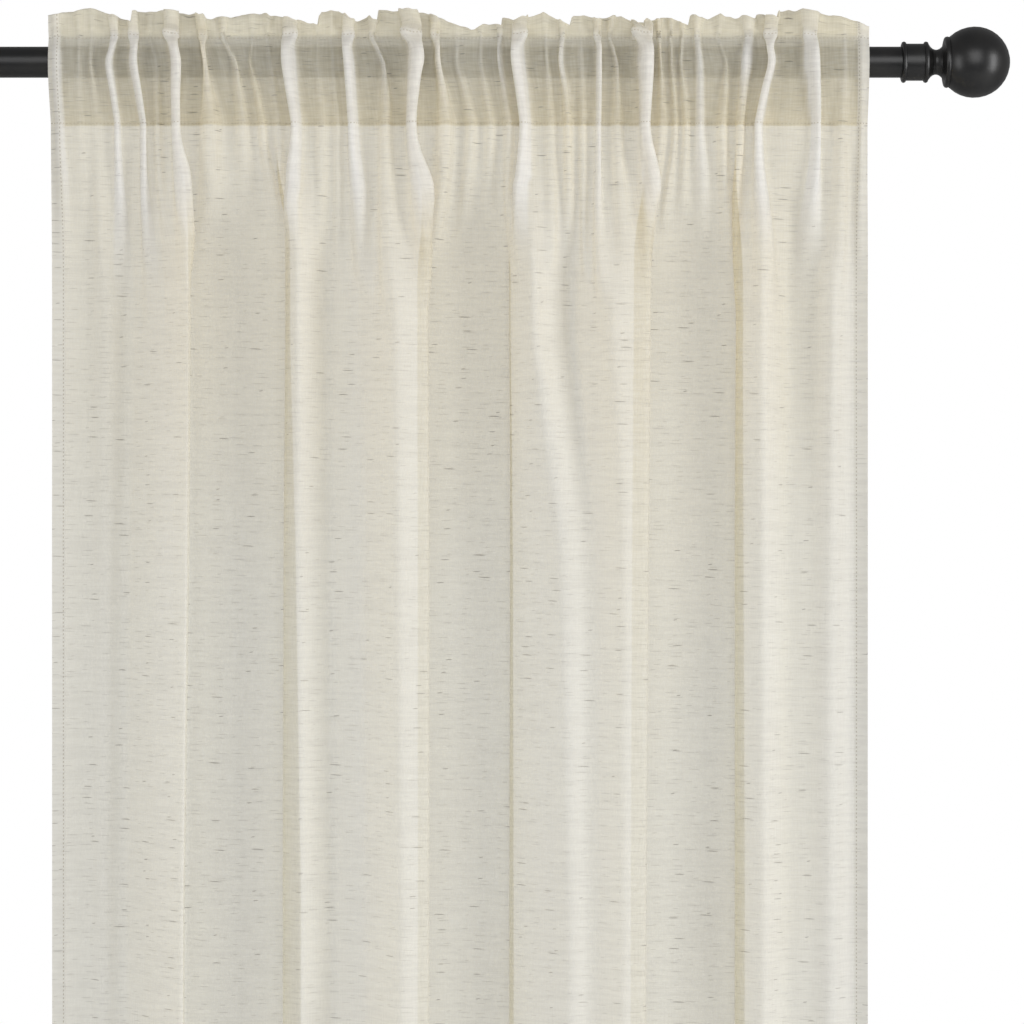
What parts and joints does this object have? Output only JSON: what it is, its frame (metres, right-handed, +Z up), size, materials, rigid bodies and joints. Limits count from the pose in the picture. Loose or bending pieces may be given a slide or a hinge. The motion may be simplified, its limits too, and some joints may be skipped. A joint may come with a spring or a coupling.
{
  "type": "sheer rod-pocket curtain on a rod",
  "caption": "Sheer curtain gathered by its rod pocket on a round rod, with a ruffled header above the rod and ball finials at the rod's ends.",
  "frame": {"origin": "on the rod's axis, at the middle of the rod's length", "axes": "+X along the rod to the right as the curtain is seen from the room, +Z up, the room side faces -Y"},
  "size_m": [0.9334, 0.0819, 2.1369],
  "materials": {
    "voile": "sheer linen-look voile with dark slubs",
    "black_steel": "black satin"
  },
  "bodies": {
    "root": {"curtain": "voile", "rod": "black_steel", "finial_left": "black_steel", "finial_right": "black_steel"}
  },
  "joints": []
}
